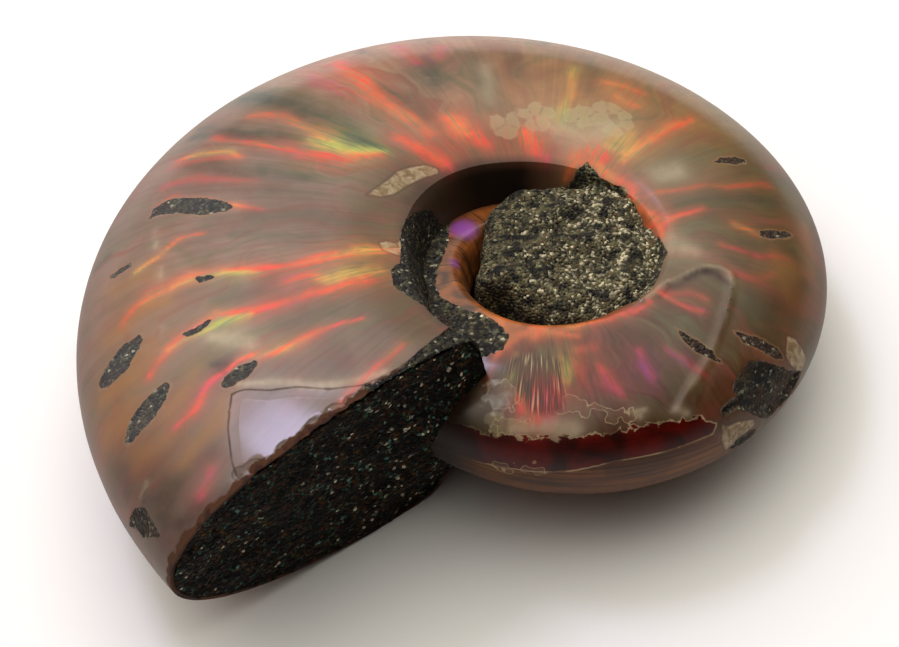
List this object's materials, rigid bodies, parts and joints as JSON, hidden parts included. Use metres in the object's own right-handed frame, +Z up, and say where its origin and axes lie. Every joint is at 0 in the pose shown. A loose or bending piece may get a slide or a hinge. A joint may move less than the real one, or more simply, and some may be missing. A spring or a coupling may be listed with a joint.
{
  "type": "opalized ammonite fossil",
  "caption": "Polished opalized ammonite lying on its side: a flat spiral shell with a broken, sediment-filled mouth and a rough plug of sediment in the middle.",
  "frame": {"origin": "on the table, under the middle of the stone's bounding box", "axes": "+Z up, through the thickness of the lying stone; the broken mouth is at the lower left seen from above, facing -Y"},
  "size_m": [0.0378, 0.0372, 0.0136],
  "materials": {
    "opalized_shell": "polished, with fire-red and green play of colour along the ribs",
    "sediment": "rough, granular, dark glauconitic sandstone with small glints"
  },
  "bodies": {
    "root": {"ammonite": "opalized_shell"}
  },
  "joints": []
}
